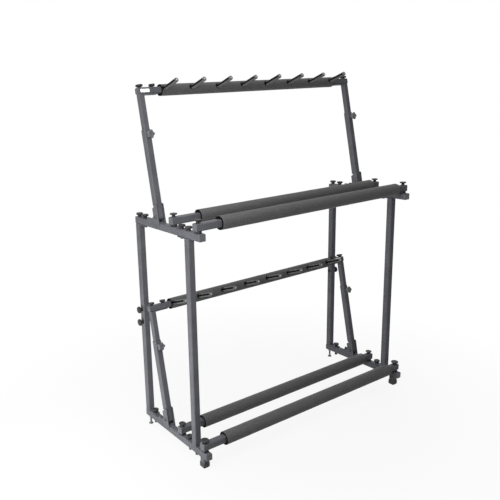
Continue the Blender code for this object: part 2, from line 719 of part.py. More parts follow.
def place_side_frames(looks):
    steel = looks["powder_coat"]
    front_post = finish(upright())
    bars = {level: finish(side_bar(level)) for level in BAR_BOTTOM}
    rubber_cap = finish(foot_cap())
    levelling_foot = finish(glide())
    for side_name, side in SIDES.items():
        x = side * SIDE_X
        for level, bottom in BAR_BOTTOM.items():
            bar_spot = (x, from_front(0), bottom + BAR_SIDE / 2)
            place(f"{level}_side_bar_{side_name}", bars[level], steel, bar_spot)
        post_z = BAR_BOTTOM["lower"] + BAR_SIDE + SEAT_GAP
        front_y = from_front(FRONT_UPRIGHT_SETBACK)
        place(f"front_upright_{side_name}", front_post, steel, (x, front_y, post_z))
        rear_post = finish(upright(joint_bolt_side=-side))
        rear_y = from_front(REAR_UPRIGHT_SETBACK)
        place(f"rear_upright_{side_name}", rear_post, steel, (x, rear_y, post_z), math.pi)
        foot_y = from_front(FOOT_SETBACK)
        place(f"front_foot_cap_{side_name}", rubber_cap, looks["rubber"], (x, foot_y, 0))
        place(f"rear_glide_{side_name}", levelling_foot, looks["zinc_steel"], (x, rear_y, 0))


def place_rails(looks):
    rail_mesh = finish(rail())
    foam_mesh = finish(rail_foam())
    knob_mesh = finish(knob_screw(RAIL_SIDE + RAIL_LIFT + TUBE_WALL))
    for level, bottom in BAR_BOTTOM.items():
        z = bottom + BAR_SIDE + RAIL_LIFT + RAIL_SIDE / 2
        for row, setback in (("front", FRONT_RAIL_SETBACK), ("rear", FRONT_RAIL_SETBACK + RAIL_SPACING)):
            y = from_front(setback)
            place(f"{level}_{row}_rail", rail_mesh, looks["powder_coat"], (0, y, z))
            shift = RAIL_FOAM_SHIFTS[f"{level}_{row}"]
            place(f"{level}_{row}_rail_foam", foam_mesh, looks["foam"], (shift, y, z))
            for side_name, side in SIDES.items():
                x = side * (WIDTH / 2 - RAIL_SCREW_INSET)
                name = f"{level}_{row}_rail_knob_{side_name}"
                place(name, knob_mesh, looks["black_plastic"], (x, y, z + RAIL_SIDE / 2))


def place_neck_frames(looks):
    meshes = {"bracket": bracket(), "pin": pivot_pin(), "outer": outer_leg(), "inner": inner_leg(),
              "clamp": clamp_knob(), "bar": neck_bar(), "foam": neck_foam(),
              "knob": knob_screw(NECK_BAR_SIDE + SEAT_GAP + NECK_FLANGE_THICKNESS, NECK_KNOB_NECK_HEIGHT)}
    for mesh in meshes.values():
        finish(mesh)
    steel, plastic = looks["powder_coat"], looks["black_plastic"]
    for level, bottom in BAR_BOTTOM.items():
        bar_top = bottom + BAR_SIDE + SEAT_GAP
        hinge = bpy.data.objects.new(f"{level}_fold_axis", None)
        bpy.context.collection.objects.link(hinge)
        hinge.location = (0, PIVOT_Y, bar_top + PIVOT_HEIGHT)
        hinge.rotation_euler = (-LEAN, 0, 0)
        reach = NECK_REACH[level]
        flange_z = reach - NECK_BAR_SIDE / 2 - SEAT_GAP - NECK_FLANGE_THICKNESS
        for side_name, side in SIDES.items():
            x = side * SIDE_X
            turn = math.pi if side > 0 else 0.0
            place(f"{level}_bracket_{side_name}", meshes["bracket"], steel, (x, PIVOT_Y, bar_top))
            pin_spot = (x, PIVOT_Y, bar_top + PIVOT_HEIGHT)
            place(f"{level}_pivot_pin_{side_name}", meshes["pin"], looks["zinc_steel"], pin_spot)
            place(f"{level}_outer_leg_{side_name}", meshes["outer"], steel, (x, 0, 0), 0.0, hinge)
            place(f"{level}_inner_leg_{side_name}", meshes["inner"], steel, (x, 0, flange_z), turn, hinge)
            clamp_spot = (x, 0, OUTER_LEG_LENGTH - CLAMP_DROP)
            place(f"{level}_clamp_knob_{side_name}", meshes["clamp"], plastic, clamp_spot, 0.0, hinge)
            for spot, inset in (("outer", 0), ("inner", NECK_SCREW_SPACING)):
                name = f"{level}_neck_knob_{side_name}_{spot}"
                knob_spot = (side * (SIDE_X - inset), 0, reach + NECK_BAR_SIDE / 2)
                place(name, meshes["knob"], plastic, knob_spot, 0.0, hinge)
        place(f"{level}_neck_bar", meshes["bar"], steel, (0, 0, reach), 0.0, hinge)
        place(f"{level}_neck_foam", meshes["foam"], looks["foam"], (0, 0, reach), 0.0, hinge)


def main():
    clear_scene()
    looks = {name: principled(name, *values) for name, values in FINISHES.items()}
    place_side_frames(looks)
    place_rails(looks)
    place_neck_frames(looks)
    bpy.context.view_layer.update()


main()
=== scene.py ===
import json
import math
import bpy
import numpy as np
from mathutils import Matrix, Vector


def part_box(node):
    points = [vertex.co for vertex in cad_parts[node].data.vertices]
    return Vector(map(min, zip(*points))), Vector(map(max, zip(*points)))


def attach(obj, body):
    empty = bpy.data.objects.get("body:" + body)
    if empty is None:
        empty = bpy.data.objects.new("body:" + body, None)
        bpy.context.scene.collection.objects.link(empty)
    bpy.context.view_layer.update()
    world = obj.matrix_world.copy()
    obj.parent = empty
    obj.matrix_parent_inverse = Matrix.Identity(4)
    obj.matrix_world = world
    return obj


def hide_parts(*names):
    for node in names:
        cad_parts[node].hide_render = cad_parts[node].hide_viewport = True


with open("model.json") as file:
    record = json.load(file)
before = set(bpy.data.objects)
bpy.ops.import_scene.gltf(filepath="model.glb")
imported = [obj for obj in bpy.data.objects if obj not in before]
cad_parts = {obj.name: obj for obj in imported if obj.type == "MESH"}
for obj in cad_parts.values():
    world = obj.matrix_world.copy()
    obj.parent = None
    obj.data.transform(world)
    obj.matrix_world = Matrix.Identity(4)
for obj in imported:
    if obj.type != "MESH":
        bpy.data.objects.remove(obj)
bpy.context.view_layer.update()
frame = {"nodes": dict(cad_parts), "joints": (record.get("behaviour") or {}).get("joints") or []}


# Side frames: side bars and uprights of square steel tube under a satin dark grey powder coat.
# The uprights stand on flange plates that are screwed to the bars. The screws and nuts are part
# of the bars' solids, so a mask on their place gives them their own finish.

class Value:
    """A socket of a finish. Arithmetic on it adds the Math node for each step."""

    def __init__(self, finish, socket):
        self.finish = finish
        self.socket = socket

    def maths(self, operation, *others):
        """The result of a Math node on this value and others, which are values or numbers."""
        return self.finish.add("ShaderNodeMath", {"operation": operation}, dict(enumerate([self, *others])))

    def __add__(self, other):
        return self.maths("ADD", other)

    def __mul__(self, other):
        return self.maths("MULTIPLY", other)

    def __sub__(self, other):
        return self.maths("SUBTRACT", other)

    def __rsub__(self, other):
        return (self * -1) + other

    def __gt__(self, other):
        return self.maths("GREATER_THAN", other)

    def __lt__(self, other):
        return self.maths("LESS_THAN", other)

    __radd__ = __add__
    __rmul__ = __mul__

    def size(self):
        """The value without its sign."""
        return self.maths("ABSOLUTE")

    def between(self, low, high):
        """0 up to low and 1 from high, with a straight ramp between them."""
        settings = {"interpolation_type": "LINEAR", "clamp": True}
        return self.finish.add("ShaderNodeMapRange", settings,
                               {"Value": self, "From Min": low, "From Max": high})


class Finish:
    """A material, or the world, while it is made. One method adds any node to it."""

    def __init__(self, owner):
        self.owner = owner
        owner.use_nodes = True
        self.tree = owner.node_tree
        self.tree.nodes.clear()

    def add(self, kind, settings=None, inputs=None, output=0):
        """Adds a node: its settings first, then its sockets' values or links. Gives one output."""
        node = self.tree.nodes.new(kind)
        for name, value in (settings or {}).items():
            setattr(node, name, value)
        for name, value in (inputs or {}).items():
            if isinstance(value, Value):
                self.tree.links.new(value.socket, node.inputs[name])
            else:
                node.inputs[name].default_value = value
        return Value(self, node.outputs[output])

    def place(self):
        """The place on the piece, as a vector in the rack's frame."""
        return self.add("ShaderNodeTexCoord", output="Object")

    def parts(self, vector):
        """The three numbers of a vector."""
        node = self.add("ShaderNodeSeparateXYZ", inputs={0: vector}).socket.node
        return [Value(self, node.outputs[k]) for k in range(3)]

    def stretched(self, vector, stretch):
        """The place with each axis multiplied, so that a pattern runs along one of them."""
        return self.add("ShaderNodeVectorMath", {"operation": "MULTIPLY"}, {0: vector, 1: stretch})

    def noise(self, vector, scale, detail=2.0, roughness=0.5):
        """Soft noise from 0 to 1, with this many lumps to the metre."""
        inputs = {"Vector": vector, "Scale": scale, "Detail": detail, "Roughness": roughness}
        return self.add("ShaderNodeTexNoise", None, inputs)

    def blend(self, factor, first, second):
        """The first colour where factor is 0, the second where it is 1."""
        return self.add("ShaderNodeMix", {"data_type": "RGBA"}, {0: factor, 6: first, 7: second}, 2)

    def soft_edge(self, radius):
        """The normal as if every sharp edge were rounded by this radius."""
        return self.add("ShaderNodeBevel", {"samples": 6}, {"Radius": radius})

    def bump(self, height, distance, strength, normal=None):
        """A normal that follows a height from 0 to 1, over this distance in metres."""
        inputs = {"Height": height, "Distance": distance, "Strength": strength}
        if normal is not None:
            inputs["Normal"] = normal
        return self.add("ShaderNodeBump", None, inputs)

    def surface(self, inputs):
        """A Principled surface, with these values and links on its sockets."""
        return self.add("ShaderNodeBsdfPrincipled", None, inputs)

    def done(self, shader):
        """Links the shader to the output and gives the finished material or world."""
        in_world = isinstance(self.owner, bpy.types.World)
        node = self.tree.nodes.new("ShaderNodeOutputWorld" if in_world else "ShaderNodeOutputMaterial")
        self.tree.links.new(shader.socket, node.inputs["Surface"])
        return self.owner


def new_finish(name):
    """An empty finish on a new material."""
    return Finish(bpy.data.materials.new(name))


COAT_COLOUR = (0.062, 0.063, 0.070, 1)
COAT_LIGHT = (0.080, 0.081, 0.090, 1)
COAT_RUBBED = (0.16, 0.16, 0.17, 1)
BLACK_PLASTIC_COLOUR = (0.010, 0.010, 0.011, 1)
BLACK_PLASTIC_WORN = (0.024, 0.024, 0.025, 1)


def powder_coat_shader(finish, vector):
    """Powder coat: a slowly mottled colour, a fine orange-peel bump, and edges rubbed a little lighter.

    An edge is where the softened normal leaves the face's own one, by 1 less their dot product.
    """
    slow = finish.noise(vector, 18, 3)
    speck = finish.noise(vector, 900, 2)
    rounded = finish.soft_edge(0.0008)
    flat = finish.add("ShaderNodeNewGeometry", output="True Normal")
    normals = {0: rounded, 1: flat}
    likeness = finish.add("ShaderNodeVectorMath", {"operation": "DOT_PRODUCT"}, normals, "Value")
    edge = (1 - likeness).between(0.02, 0.22)
    patches = finish.noise(vector, 55, 3).between(0.45, 0.75)
    colour = finish.blend(slow.between(0.3, 0.7), COAT_COLOUR, COAT_LIGHT)
    colour = finish.blend(edge * (0.30 + 0.35 * patches), colour, COAT_RUBBED)
    roughness = 0.36 + 0.10 * slow + 0.05 * speck
    peel = finish.noise(vector, 520, 2, 0.6)
    normal = finish.bump(peel, 0.00012, 0.35, rounded)
    return finish.surface({"Base Color": colour, "Roughness": roughness, "Normal": normal,
                           "Specular IOR Level": 0.12})


def black_plastic_shader(finish, vector):
    """Moulded black plastic: a fine spark texture, slightly uneven gloss and greyed edges."""
    grain = finish.noise(vector, 1500, 2, 0.6)
    cloud = finish.noise(vector, 90, 3)
    rounded = finish.soft_edge(0.0007)
    colour = finish.blend(cloud.between(0.35, 0.8), BLACK_PLASTIC_COLOUR, BLACK_PLASTIC_WORN)
    return finish.surface({"Base Color": colour, "Roughness": 0.36 + 0.14 * cloud,
                           "Normal": finish.bump(grain, 0.00008, 0.4, rounded), "Specular IOR Level": 0.2})


def coated_steel(name, fittings=None):
    """Powder-coated steel, with black plastic wherever fittings says 1 for a place."""
    finish = new_finish(name)
    vector = finish.place()
    shader = powder_coat_shader(finish, vector)
    if fittings is not None:
        plastic = black_plastic_shader(finish, vector)
        share = fittings(*finish.parts(vector))
        shader = finish.add("ShaderNodeMixShader", None, {0: share, 1: shader, 2: plastic})
    return finish.done(shader)


def either(first, second):
    """A mask that is 1 where one or the other is."""
    return first.maths("MAXIMUM", second)


def coat_node(name, material):
    """Gives a solid of the frame its finish, in the one slot that it has."""
    frame["nodes"][name].data.materials[0] = material


SIDES = {"left": -1, "right": 1}
WIDTH = 1.05
TUBE_SIDE = 0.0254
SIDE_X = (WIDTH - TUBE_SIDE) / 2
FOOT_HEIGHT = 0.0377
UPRIGHT_LENGTH = 0.762
SEAT_GAP = 0.0003
BAR_FLOOR = {"lower": FOOT_HEIGHT, "upper": FOOT_HEIGHT + 2 * SEAT_GAP + TUBE_SIDE + UPRIGHT_LENGTH}
MASK_MARGIN = 0.0006
FOOT_STUB_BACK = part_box("front_foot_cap_left")[1].y + 0.002
BOLT_ZONE = (0.3, 0.6)


def upper_bar_fittings(x, y, z):
    """Thumb nuts above the bar, screw heads below it."""
    top, bottom = BAR_FLOOR["upper"] + TUBE_SIDE + MASK_MARGIN, BAR_FLOOR["upper"] - MASK_MARGIN
    return either(z > top, z < bottom)


def lower_bar_fittings(x, y, z):
    """Nuts above the bar, hex heads below it, but not the foot's stub."""
    top, bottom = BAR_FLOOR["lower"] + TUBE_SIDE + MASK_MARGIN, BAR_FLOOR["lower"] - MASK_MARGIN
    return either(z > top, (z < bottom) * (y > FOOT_STUB_BACK))


def upright_fittings(x, y, z):
    """Knob bolts and their nuts, which stand out sideways from the tube."""
    outside = (x.size() - SIDE_X).size()
    return (outside > TUBE_SIDE / 2 + MASK_MARGIN) * (z > BOLT_ZONE[0]) * (z < BOLT_ZONE[1])


steel = coated_steel("satin_powder_coat")
upper_bar_finish = coated_steel("upper_bar_coat", upper_bar_fittings)
lower_bar_finish = coated_steel("lower_bar_coat", lower_bar_fittings)
upright_finish = coated_steel("upright_coat", upright_fittings)
for side in SIDES:
    coat_node(f"upper_side_bar_{side}", upper_bar_finish)
    coat_node(f"lower_side_bar_{side}", lower_bar_finish)
    coat_node(f"front_upright_{side}", steel)
    coat_node(f"rear_upright_{side}", upright_finish)


# End plugs: square plastic inserts pressed into the open ends of the side bars, rails and neck bars.
# Each has a thin rim on the tube's end and a low crown, moulded in dark grey plastic.

def joined(grids):
    """Corner places and faces of closed surfaces, each a grid of points (rows, columns, 3).

    Columns run round and join up. Rows end in a face, or join up too where the grid comes with True.
    A surface whose enclosed volume comes out below zero is turned, so that its faces point outwards.
    """
    points, faces, start = [], [], 0
    for grid, loops in grids:
        rows, columns = grid.shape[:2]
        index = np.arange(rows * columns).reshape(rows, columns)
        low, high = (index, np.roll(index, -1, 0)) if loops else (index[:-1], index[1:])
        quads = np.stack([low, np.roll(low, -1, 1), np.roll(high, -1, 1), high], -1).reshape(-1, 4)
        spots = grid.reshape(-1, 3)
        middle = spots.mean(0)
        a, b, c, d = (spots[quads[:, k]] - middle for k in range(4))
        volume = np.einsum("ij,ij->", a, np.cross(b, c) + np.cross(c, d))
        made = [quads]
        if not loops:
            made += [index[:1, ::-1], index[-1:]]
        for block in made:
            faces += ((block if volume > 0 else block[:, ::-1]) + start).tolist()
        points.append(spots)
        start += len(spots)
    return np.concatenate(points), faces


def new_piece(name, grids, material, body, crease=38, shade_depths=None):
    """A piece from closed surfaces, in its place and riding on its body, smooth up to a crease in degrees.

    The last argument holds, for each surface, how deep each point lies in a slit, a hole, a bore or the
    last millimetre of an end, from 0 to 1; the foam paints these places near black as painted shade.
    """
    points, faces = joined(grids)
    mesh = bpy.data.meshes.new(name)
    mesh.from_pydata(points, [], faces)
    mesh.materials.append(material)
    if shade_depths:
        values = np.concatenate([depth.ravel() for depth in shade_depths]).astype(np.float32)
        mesh.attributes.new("depth", "FLOAT", "POINT").data.foreach_set("value", values)
    mesh.shade_smooth()
    mesh.set_sharp_from_angle(angle=math.radians(crease))
    piece = bpy.data.objects.new(name, mesh)
    bpy.context.scene.collection.objects.link(piece)
    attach(piece, body)
    return piece


def rounded_outline(width, height, corner, steps=6, sides=3):
    """Points round a rectangle with round corners: quarter circles joined by straight sides."""
    turn = np.linspace(0, math.pi / 2, steps)
    loop = []
    for quarter, (sx, sy) in enumerate(((1, 1), (-1, 1), (-1, -1), (1, -1))):
        angle = turn + quarter * math.pi / 2
        centre = np.array([sx * (width / 2 - corner), sy * (height / 2 - corner)])
        loop.append(centre + corner * np.stack([np.cos(angle), np.sin(angle)], -1))
    whole = []
    for k in range(4):
        start, end = loop[k][-1], loop[(k + 1) % 4][0]
        share = np.linspace(0, 1, sides + 2)[1:-1, None]
        whole += [loop[k], start + (end - start) * share]
    return np.concatenate(whole)


def stacked(outline, rows):
    """A grid of one outline scaled and lifted row by row: rows holds (scale, height)."""
    rows = np.asarray(rows, float)
    flat = outline[None] * rows[:, :1, None]
    lift = np.broadcast_to(rows[:, 1:, None], (*flat.shape[:2], 1))
    return np.concatenate([flat, lift], -1)


def stood(grid, foot, axis=(0, 0, 1), across=(1, 0, 0)):
    """A grid with its own z turned along axis and its x kept near across, standing at foot.

    The rows of the turn are the grid's x, y and z in the rack's frame.
    """
    up = np.array(axis, float) / np.linalg.norm(axis)
    side = np.array(across, float) - up * np.dot(across, up)
    side /= np.linalg.norm(side)
    turn = np.stack([side, np.cross(up, side), up])
    return grid @ turn + np.array(foot, float)


def dark_plastic():
    """Dark grey moulded plastic, a little lighter than the knobs."""
    finish = new_finish("plug_plastic")
    vector = finish.place()
    grain = finish.noise(vector, 1300, 2, 0.6)
    cloud = finish.noise(vector, 140, 3)
    colour = finish.blend(cloud.between(0.3, 0.75), (0.050, 0.051, 0.056, 1), (0.075, 0.076, 0.082, 1))
    return finish.done(finish.surface({"Base Color": colour, "Roughness": 0.42 + 0.12 * cloud,
                                       "Normal": finish.bump(grain, 0.00008, 0.35)}))


plug_finish = dark_plastic()
LEVELS = ("lower", "upper")
ROWS = ("front", "rear")
PLUG_SIDE = 0.0246
PLUG_CORNER = 0.0022
PLUG_ROWS = [(0.90, -0.0004), (0.99, -0.0002), (1.0, 0.0002), (0.99, 0.0006), (0.95, 0.0008),
             (0.90, 0.0008), (0.87, 0.0006), (0.84, 0.0006), (0.75, 0.0008), (0.45, 0.0009), (0.02, 0.0009)]


def end_plug(name, spot, axis, across, side, body):
    """A plug on the end of a square tube: rim, shallow groove and low crown, as scaled outlines."""
    outline = rounded_outline(side, side, PLUG_CORNER)
    grid = stood(stacked(outline, PLUG_ROWS), spot, axis, across)
    return new_piece(name, [(grid, False)], plug_finish, body)


for side, sign in SIDES.items():
    for level in LEVELS:
        low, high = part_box(f"{level}_side_bar_{side}")
        z = BAR_FLOOR[level] + TUBE_SIDE / 2
        for end, y, out in (("front", low.y, -1), ("rear", high.y, 1)):
            end_plug(f"{level}_bar_plug_{end}_{side}", (sign * SIDE_X, y, z), (0, out, 0), (1, 0, 0),
                     PLUG_SIDE, "frame")
        for row in ROWS:
            low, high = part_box(f"{level}_{row}_rail")
            spot = (low.x if sign < 0 else high.x, (low.y + high.y) / 2, high.z - TUBE_SIDE / 2)
            end_plug(f"{level}_{row}_rail_plug_{side}", spot, (sign, 0, 0), (0, 1, 0), PLUG_SIDE, "frame")


# Front feet: rubber boots pushed over the square stubs under the side bars' front ends.
# They are moulded in matt black rubber with a rolled upper edge, a groove and a chamfered sole.

def rubber():
    """Matt black rubber with a dusty bloom and a faint pebble."""
    finish = new_finish("boot_rubber")
    vector = finish.place()
    bloom = finish.noise(vector, 120, 4)
    pebble = finish.noise(vector, 1100, 2)
    colour = finish.blend(bloom.between(0.35, 0.8), (0.010, 0.010, 0.011, 1), (0.028, 0.028, 0.029, 1))
    return finish.done(finish.surface({"Base Color": colour, "Roughness": 0.62 + 0.2 * bloom,
                                       "Normal": finish.bump(pebble, 0.0001, 0.4)}))


def middle_of(node, z):
    """The middle of a solid as seen from above, at the height z."""
    low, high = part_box(node)
    return (low.x + high.x) / 2, (low.y + high.y) / 2, z


rubber_finish = rubber()
BOOT_SIDE = 0.0270
BOOT_CORNER = 0.0034
BOOT_CREASE = 50
BOOT_ROWS = [(0.10, 0.0000), (0.72, 0.0000), (0.80, 0.0006), (0.97, 0.0036), (1.00, 0.0046),
             (1.00, 0.0118), (0.985, 0.0124), (0.955, 0.0127), (0.955, 0.0142), (0.985, 0.0145),
             (1.00, 0.0151), (1.00, 0.0190), (0.985, 0.0198), (0.955, 0.0201), (0.925, 0.0199),
             (0.905, 0.0190), (0.90, 0.0160), (0.10, 0.0160)]
boot = stacked(rounded_outline(BOOT_SIDE, BOOT_SIDE, BOOT_CORNER), BOOT_ROWS)
for side in SIDES:
    node = f"front_foot_cap_{side}"
    piece = new_piece(f"front_foot_boot_{side}", [(stood(boot, middle_of(node, 0)), False)], rubber_finish,
                      "frame", BOOT_CREASE)
    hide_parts(node)


# Rear feet: levelling glides, each a round pad on a threaded stud with a hex lock nut under the bar.
# Turned from steel and zinc plated.

def softened(corners, steps=5):
    """A profile through corners (radius, height, softness), as an array of (radius, height).

    Each corner gives way to a curve that leaves the straight lines its softness before and after it:
    (1 - t)^2 a + 2 t (1 - t) corner + t^2 b.
    """
    corners = np.asarray(corners, float)
    rows = [corners[:1, :2]]
    t = np.linspace(0, 1, steps)[:, None]
    for before, corner, after in zip(corners, corners[1:], corners[2:]):
        here = corner[:2]
        a, b = (here + (other[:2] - here) * min(0.5, corner[2] / np.linalg.norm(other[:2] - here))
                for other in (before, after))
        rows.append((1 - t) ** 2 * a + 2 * t * (1 - t) * here + t ** 2 * b)
    rows.append(corners[-1:, :2])
    return np.concatenate(rows)


def turned(profile, around=48, shape=None):
    """A profile (radius, height) turned about z. shape(angle, radius, height) scales the radius."""
    radius, height = profile[:, :1], profile[:, 1:]
    angle = np.linspace(0, 2 * math.pi, around, endpoint=False)[None]
    reach = radius * (shape(angle, radius, height) if shape else 1)
    reach, angle, height = np.broadcast_arrays(reach, angle, height)
    return np.stack([reach * np.cos(angle), reach * np.sin(angle), height], -1)


def threaded(radius, start, end, pitch=0.00125):
    """The profile of a screw thread: the radius falls and rises by a third of the pitch at every turn."""
    height = np.arange(start, end, pitch / 4)
    share = np.abs(((height - start) / pitch) % 1 - 0.5) * 2
    return np.stack([radius - pitch * 0.33 * (1 - share), height], -1)


def hexagon(angle, radius, height):
    """The share of the radius at which a hexagon's side lies: cos 30 / cos(angle mod 60 - 30)."""
    return math.cos(math.pi / 6) / np.cos((angle % (math.pi / 3)) - math.pi / 6)


def zinc():
    """Zinc plate: dull grey metal with a soft cloudy passivation."""
    finish = new_finish("zinc_plate")
    vector = finish.place()
    cloud = finish.noise(vector, 260, 3)
    fine = finish.noise(vector, 2200, 2)
    colour = finish.blend(cloud.between(0.3, 0.75), (0.10, 0.10, 0.105, 1), (0.17, 0.17, 0.17, 1))
    return finish.done(finish.surface({"Base Color": colour, "Roughness": 0.45 + 0.18 * cloud,
                                       "Metallic": 0.6, "Normal": finish.bump(fine, 0.00005, 0.3)}))


zinc_finish = zinc()
STUD_RADIUS = 0.0040
STUD_FOOT, STUD_TOP = 0.0055, 0.074
GLIDE_PAD = [(0.0002, 0, 0), (0.0080, 0, 0.0006), (0.0086, 0.0010, 0.0005), (0.0086, 0.0036, 0.0008),
             (0.0050, 0.0052, 0.0010), (0.0042, 0.0060, 0.0003), (0.0002, 0.0061, 0)]
LOCK_NUT = [(0.0002, 0.0310, 0), (0.0066, 0.0310, 0.0004), (0.0072, 0.0320, 0.0004),
            (0.0072, 0.0364, 0.0004), (0.0066, 0.0373, 0.0004), (0.0002, 0.0373, 0)]
thread = threaded(STUD_RADIUS, STUD_FOOT, STUD_TOP)
stud = np.concatenate([[[0.0002, STUD_FOOT]], thread, [[0.0002, STUD_TOP + 0.0002]]])
glide = [turned(softened(GLIDE_PAD)), turned(stud, 24), turned(softened(LOCK_NUT, 3), 72, hexagon)]
for side in SIDES:
    node = f"rear_glide_{side}"
    grids = [(stood(grid, middle_of(node, 0)), False) for grid in glide]
    piece = new_piece(f"rear_levelling_foot_{side}", grids, zinc_finish, "frame")
    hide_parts(node)


# Rails: two square tubes across each level, on round spacers over the side bars.
# The same powder-coated steel tube as the frames.

RAILS = [(level, row) for level in LEVELS for row in ROWS]
for level, row in RAILS:
    coat_node(f"{level}_{row}_rail", steel)


# Rail sleeves: thick tubes of black closed-cell foam, pushed over the rails from their ends.
# The foam stretches over the square tube's corners, so it swells a little there. Its trimmed ends and
# its bore are painted near black, as painted shade for the dark gap between the foam and the tube.

def foam(name, dark, light):
    """Closed-cell foam: a satin skin between two greys, with fine cells and faint streaks along it.

    Trimmed ends, bores, slits and holes are painted near black, by the depth that the piece's points carry:
    painted shade, where the gap round the tube and the foam's hollows fall dark.
    """
    finish = new_finish(name)
    vector = finish.place()
    cells = finish.add("ShaderNodeTexVoronoi", {"feature": "F1"}, {"Vector": vector, "Scale": 1100.0})
    mottle = finish.noise(vector, 160, 4, 0.65)
    streak = finish.noise(finish.stretched(vector, (0.08, 1, 1)), 420, 3)
    slow = finish.noise(vector, 14, 2)
    depth = finish.add("ShaderNodeAttribute", {"attribute_name": "depth"}, output="Fac")
    colour = finish.blend((mottle * 0.6 + streak * 0.4).between(0.35, 0.7), dark, light)
    height = cells * 0.5 + mottle * 0.35 + streak * 0.3
    skin = finish.surface({"Base Color": colour, "Roughness": 0.50 + 0.16 * mottle + 0.06 * slow,
                           "Normal": finish.bump(height, 0.0004, 0.45), "Specular IOR Level": 0.25})
    # Painted shade: near black, fully rough and without gloss, wherever the depth is 1.
    painted_shade = finish.surface({"Base Color": (0.006, 0.006, 0.006, 1), "Roughness": 1.0,
                          "Specular IOR Level": 0.0})
    return finish.done(finish.add("ShaderNodeMixShader", None, {0: depth, 1: skin, 2: painted_shade}))


foam_finish = foam("foam_sleeve", (0.046, 0.046, 0.047, 1), (0.082, 0.082, 0.083, 1))
RAIL_SLEEVE_RADIUS = 0.0240
TUBE_CORNER = 0.0025
BORE_GAP = 0.0004
BORE_SHARE = 1.18
SWELL = 0.012
END_LIP = 0.0018
HOLE_DEPTH = 0.0055
HOLE_SHIFT = 0.004
HOLE_HALF_WIDTH = 0.0135
HOLE_HALF_HEIGHT = 0.0115
HOLE_RIM_SHARE = 0.3
HOLE_STEPS = np.linspace(-0.018, 0.014, 17)
FOAM_CREASE = 50
RAIL_SEED = 11


def square_reach(angle, half, corner):
    """How far a square tube with round corners reaches from its middle at an angle.

    half / max(|cos|, |sin|), but no more than the round corner's top.
    """
    reach = half / np.maximum(np.abs(np.cos(angle)), np.abs(np.sin(angle)))
    return np.minimum(reach, half * math.sqrt(2) - corner * (math.sqrt(2) - 1))


def sleeve(length, radius, tube_half, seed, holes=(), hole_turn=0.0, around=96, along=72):
    """A foam sleeve along x, closed through its bore, and the depth of its points, for the painted shade.

    The outside is the radius times 1 - 0.012 cos(4 angle), for the swell over the corners, plus five slow
    sine waves along it. Each hole is an oval dent round one angle: full depth inside 0.7 of its half
    widths, and rising to the skin at 1. The bore is the tube's reach, or a round hole where that is more.
    """
    draw = np.random.default_rng(seed)
    angle = np.linspace(0, 2 * math.pi, around, endpoint=False)
    waves = [(draw.uniform(2, 9), draw.uniform(0, 6.3), draw.uniform(0, 6.3), draw.uniform(0.0010, 0.0030))
             for _ in range(5)]
    curl = np.linspace(0, math.pi / 2, 6)
    end = np.stack([length / 2 - END_LIP + END_LIP * np.sin(curl), -END_LIP + END_LIP * np.cos(curl)], -1)
    body = np.linspace(-length / 2 + END_LIP, length / 2 - END_LIP, along)
    body = np.unique(np.concatenate([body, *(spot + HOLE_STEPS for spot in holes)]))
    outer_x = np.concatenate([-end[::-1, 0], body[1:-1], end[:, 0]])
    outer_drop = np.concatenate([end[::-1, 1], np.zeros(len(body) - 2), end[:, 1]])
    inner_x = length / 2 * np.array([1.0, 0.995, 0.98, 0.5, -0.5, -0.98, -0.995, -1.0])
    inner_open = np.array([0.0012, 0.0004, 0, 0, 0, 0, 0.0004, 0.0012])
    ripple = sum(size * np.sin(times * 2 * math.pi * outer_x[:, None] / length + turn + np.sin(angle + lag))
                 for times, turn, lag, size in waves)
    across = ((angle - hole_turn + math.pi) % (2 * math.pi) - math.pi) * radius / HOLE_HALF_HEIGHT
    dent = np.zeros((len(outer_x), around))
    for spot in holes:
        out = np.hypot((outer_x[:, None] - spot + HOLE_SHIFT) / HOLE_HALF_WIDTH, across)
        dent = np.maximum(dent, np.clip((1 - out) / HOLE_RIM_SHARE, 0, 1))
    skin = radius * (1 - SWELL * np.cos(4 * angle)[None] + ripple)
    outer = skin + outer_drop[:, None] - HOLE_DEPTH * dent
    bore = np.maximum(square_reach(angle, tube_half, TUBE_CORNER) + BORE_GAP, tube_half * BORE_SHARE)
    inner = bore[None] + inner_open[:, None]
    x = np.concatenate([outer_x, inner_x])[:, None]
    reach = np.concatenate([outer, inner])
    # Painted shade mask: 1 on the last millimetre of each end, in the bore and in the peg holes.
    painted_end_shade = np.clip((np.abs(outer_x) - length / 2 + 0.0010) / 0.0006, 0, 1)[:, None]
    depth = np.concatenate([np.maximum(dent, painted_end_shade), np.ones_like(inner)])
    return np.stack(np.broadcast_arrays(x, reach * np.cos(angle), reach * np.sin(angle)), -1), depth


for number, (level, row) in enumerate(RAILS):
    node = f"{level}_{row}_rail_foam"
    low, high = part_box(node)
    grid, depth = sleeve(high.x - low.x, RAIL_SLEEVE_RADIUS, TUBE_SIDE / 2, RAIL_SEED + number)
    piece = new_piece(f"{level}_{row}_rail_sleeve", [(grid + np.array((low + high) / 2), True)],
                      foam_finish, "frame", FOAM_CREASE, [depth])
    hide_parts(node)


# Rail knobs: black hand knobs on the screws that hold each rail's ends, moulded in plastic.
# Each is a mushroom: a flared foot, a slim stem, a cone and a fluted rim with a flat top.

knob_plastic = new_finish("black_plastic")
plastic_finish = knob_plastic.done(black_plastic_shader(knob_plastic, knob_plastic.place()))


def fluted(count, depth, inside, turn=0.0):
    """Flutes round a head, outside a radius.

    The radius drops by depth times (0.5 + 0.5 cos(count (angle - turn)))^2.
    """
    def shape(angle, radius, height):
        grip = np.clip((radius - inside) / 0.001, 0, 1)
        return 1 - depth * grip * (0.5 + 0.5 * np.cos(count * (angle - turn))) ** 2
    return shape


FINE_FLUTES = fluted(18, 0.03, 0.0105)


